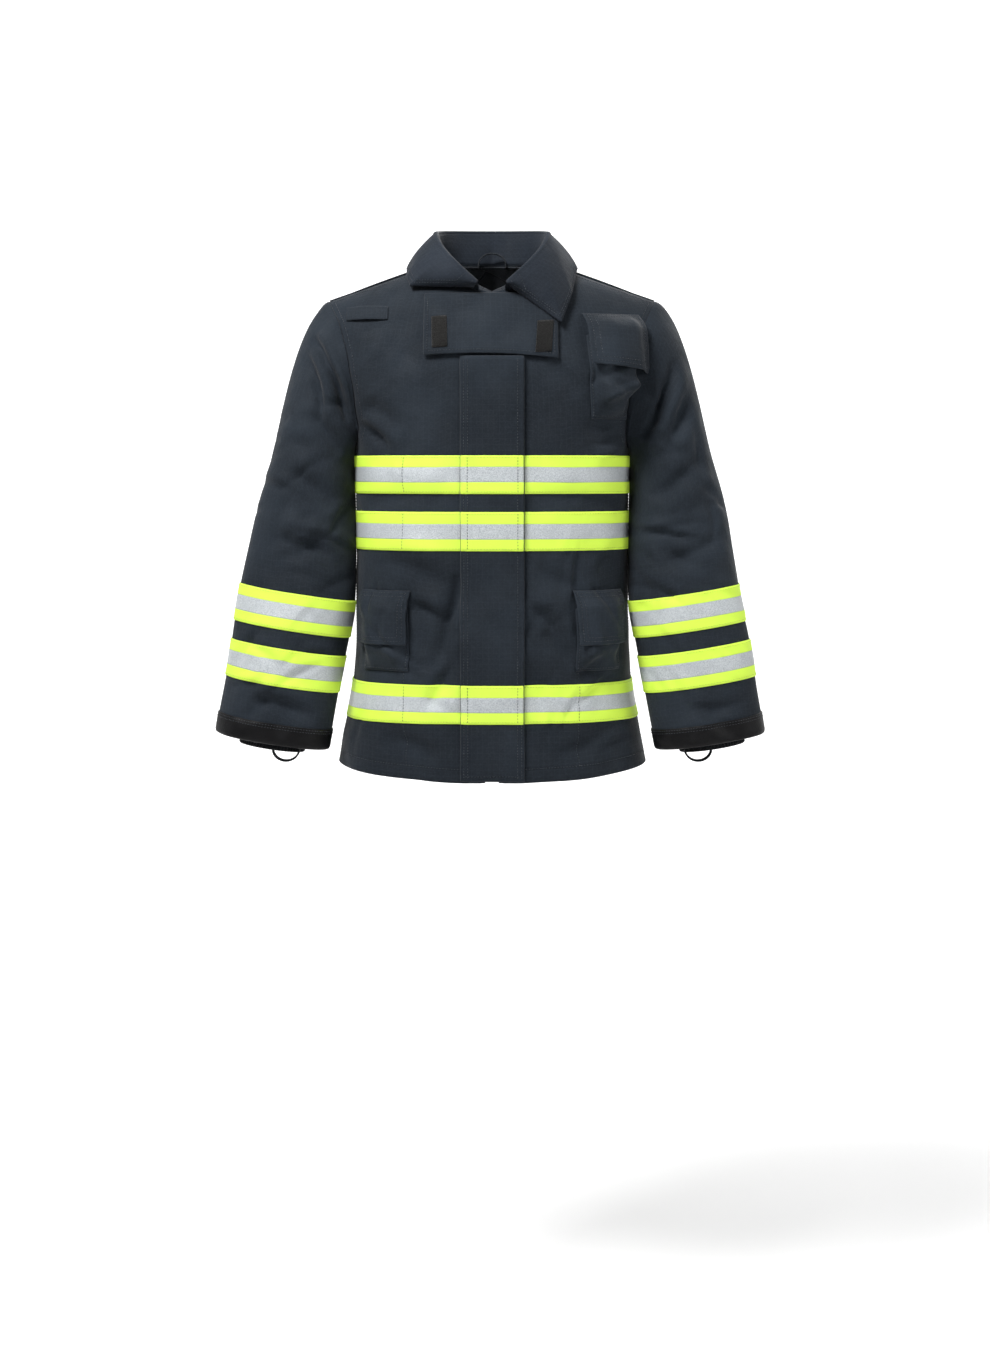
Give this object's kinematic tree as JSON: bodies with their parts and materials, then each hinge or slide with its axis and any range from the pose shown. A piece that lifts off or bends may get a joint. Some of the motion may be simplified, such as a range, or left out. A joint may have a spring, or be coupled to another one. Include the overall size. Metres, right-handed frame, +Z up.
{
  "type": "turnout coat",
  "caption": "Firefighter's turnout coat with folded collar, throat tab, storm flap over a front zipper, flapped pockets, reflective bands and knit wristlets.",
  "frame": {"origin": "top of the hanger loop inside the back of the neck, where a coat hook carries the coat", "axes": "+Z up, -Y out of the coat's front, +X towards the wearer's left sleeve"},
  "size_m": [0.759, 0.2891, 0.7511],
  "materials": {
    "shell_ripstop": "matte charcoal-navy ripstop weave with a fine raised grid",
    "collar_ripstop": "ripstop outside, darker navy lining inside",
    "thermal_liner": "quilted navy facecloth",
    "reflective_tape": "fluorescent lime tape with a silver retroreflective stripe along its middle",
    "hook_and_loop": "dense dark brown-black pile",
    "cuff_leather": "black reinforced cuff",
    "knit": "black ribbed knit",
    "zipper_tape": "black woven tape",
    "zipper_brass": "worn brass teeth, slider and pull"
  },
  "bodies": {
    "root": {"back_panel": "shell_ripstop", "front_panel_right": "shell_ripstop", "front_panel_left": "shell_ripstop", "thermal_liner_back": "thermal_liner", "thermal_liner_front_right": "thermal_liner", "thermal_liner_front_left": "thermal_liner", "liner_pocket": "thermal_liner", "collar_stand": "collar_ripstop", "collar_back_fall": "collar_ripstop", "front_hook_strip": "hook_and_loop", "zipper_tape_right": "zipper_tape", "zipper_tape_left": "zipper_tape", "zipper_chain": "zipper_brass", "radio_pocket": "shell_ripstop", "mic_tab": "shell_ripstop", "lower_pocket_right": "shell_ripstop", "lower_pocket_left": "shell_ripstop", "hanger_loop": "shell_ripstop", "chest_upper_band_front_right": "reflective_tape", "chest_upper_band_front_left": "reflective_tape", "chest_upper_band_back": "reflective_tape", "chest_lower_band_front_right": "reflective_tape", "chest_lower_band_front_left": "reflective_tape", "chest_lower_band_back": "reflective_tape", "hem_band_front_right": "reflective_tape", "hem_band_front_left": "reflective_tape", "hem_band_back": "reflective_tape"},
    "storm_flap": {"storm_flap": "shell_ripstop", "storm_flap_loop_strip": "hook_and_loop", "storm_flap_chest_upper_tape": "reflective_tape", "storm_flap_chest_lower_tape": "reflective_tape", "storm_flap_hem_tape": "reflective_tape"},
    "zipper_slider": {"zipper_slider": "zipper_brass", "zipper_pull": "zipper_brass"},
    "throat_tab": {"throat_tab": "shell_ripstop", "throat_hook_patch_right": "hook_and_loop", "throat_hook_patch_left": "hook_and_loop"},
    "radio_flap": {"radio_pocket_flap": "shell_ripstop"},
    "collar_wing_right": {"collar_wing_right": "collar_ripstop"},
    "pocket_flap_right": {"lower_pocket_flap_right": "shell_ripstop"},
    "upper_arm_right": {"upper_sleeve_right": "shell_ripstop", "thermal_liner_upper_sleeve_right": "thermal_liner"},
    "forearm_right": {"forearm_sleeve_right": "shell_ripstop", "thermal_liner_forearm_right": "thermal_liner", "cuff_right": "cuff_leather", "wristlet_right": "knit", "thumb_loop_right": "knit", "sleeve_upper_band_right": "reflective_tape", "sleeve_lower_band_right": "reflective_tape"},
    "collar_wing_left": {"collar_wing_left": "collar_ripstop"},
    "pocket_flap_left": {"lower_pocket_flap_left": "shell_ripstop"},
    "upper_arm_left": {"upper_sleeve_left": "shell_ripstop", "thermal_liner_upper_sleeve_left": "thermal_liner"},
    "forearm_left": {"forearm_sleeve_left": "shell_ripstop", "thermal_liner_forearm_left": "thermal_liner", "cuff_left": "cuff_leather", "wristlet_left": "knit", "thumb_loop_left": "knit", "sleeve_upper_band_left": "reflective_tape", "sleeve_lower_band_left": "reflective_tape"}
  },
  "joints": [
    {"name": "shoulder_right", "type": "hinge", "parent": "root", "child": "upper_arm_right", "pos_m": [-0.222, -0.034, -0.062], "axis": [0, 1, 0], "range_deg": [0, 40]},
    {"name": "elbow_right", "type": "hinge", "parent": "upper_arm_right", "child": "forearm_right", "pos_m": [-0.2576, -0.133, -0.388], "axis": [-0.9877, 0, 0.1564], "range_deg": [0, 60]},
    {"name": "collar_lift_right", "type": "hinge", "parent": "root", "child": "collar_wing_right", "pos_m": [-0.05399, -0.11121, -0.01591], "axis": [-0.4937, 0.6224, 0.6073], "range_deg": [0, 40]},
    {"name": "pocket_flap_right_hinge", "type": "hinge", "parent": "root", "child": "pocket_flap_right", "pos_m": [-0.14225, -0.14461, -0.462], "axis": [-0.7748, 0.6322, 0], "range_deg": [0, 100]},
    {"name": "shoulder_left", "type": "hinge", "parent": "root", "child": "upper_arm_left", "pos_m": [0.222, -0.034, -0.062], "axis": [0, -1, 0], "range_deg": [0, 40]},
    {"name": "elbow_left", "type": "hinge", "parent": "upper_arm_left", "child": "forearm_left", "pos_m": [0.2576, -0.133, -0.388], "axis": [-0.9877, 0, -0.1564], "range_deg": [0, 60]},
    {"name": "collar_lift_left", "type": "hinge", "parent": "root", "child": "collar_wing_left", "pos_m": [0.05399, -0.11121, -0.01591], "axis": [-0.4937, -0.6224, -0.6073], "range_deg": [0, 40]},
    {"name": "pocket_flap_left_hinge", "type": "hinge", "parent": "root", "child": "pocket_flap_left", "pos_m": [0.14225, -0.14461, -0.462], "axis": [-0.7748, -0.6322, 0], "range_deg": [0, 100]},
    {"name": "storm_flap_hinge", "type": "hinge", "parent": "root", "child": "storm_flap", "pos_m": [-0.04, -0.1783, -0.435], "axis": [0, -0.0142, -0.9999], "range_deg": [0, 110]},
    {"name": "zipper_slide", "type": "slide", "parent": "root", "child": "zipper_slider", "axis": [0, -0.0142, -0.9999], "range_m": [0, 0.48]},
    {"name": "throat_tab_hinge", "type": "hinge", "parent": "root", "child": "throat_tab", "pos_m": [0, -0.13215, -0.063], "axis": [-1, 0, 0], "range_deg": [0, 22]},
    {"name": "radio_flap_hinge", "type": "hinge", "parent": "root", "child": "radio_flap", "pos_m": [0.16202, -0.10723, -0.089], "axis": [-0.8987, -0.4386, 0], "range_deg": [0, 100]}
  ],
  "couplings": [
    {"joint": "throat_tab_hinge", "follows": "collar_lift_left", "ratio": 0.55}
  ]
}
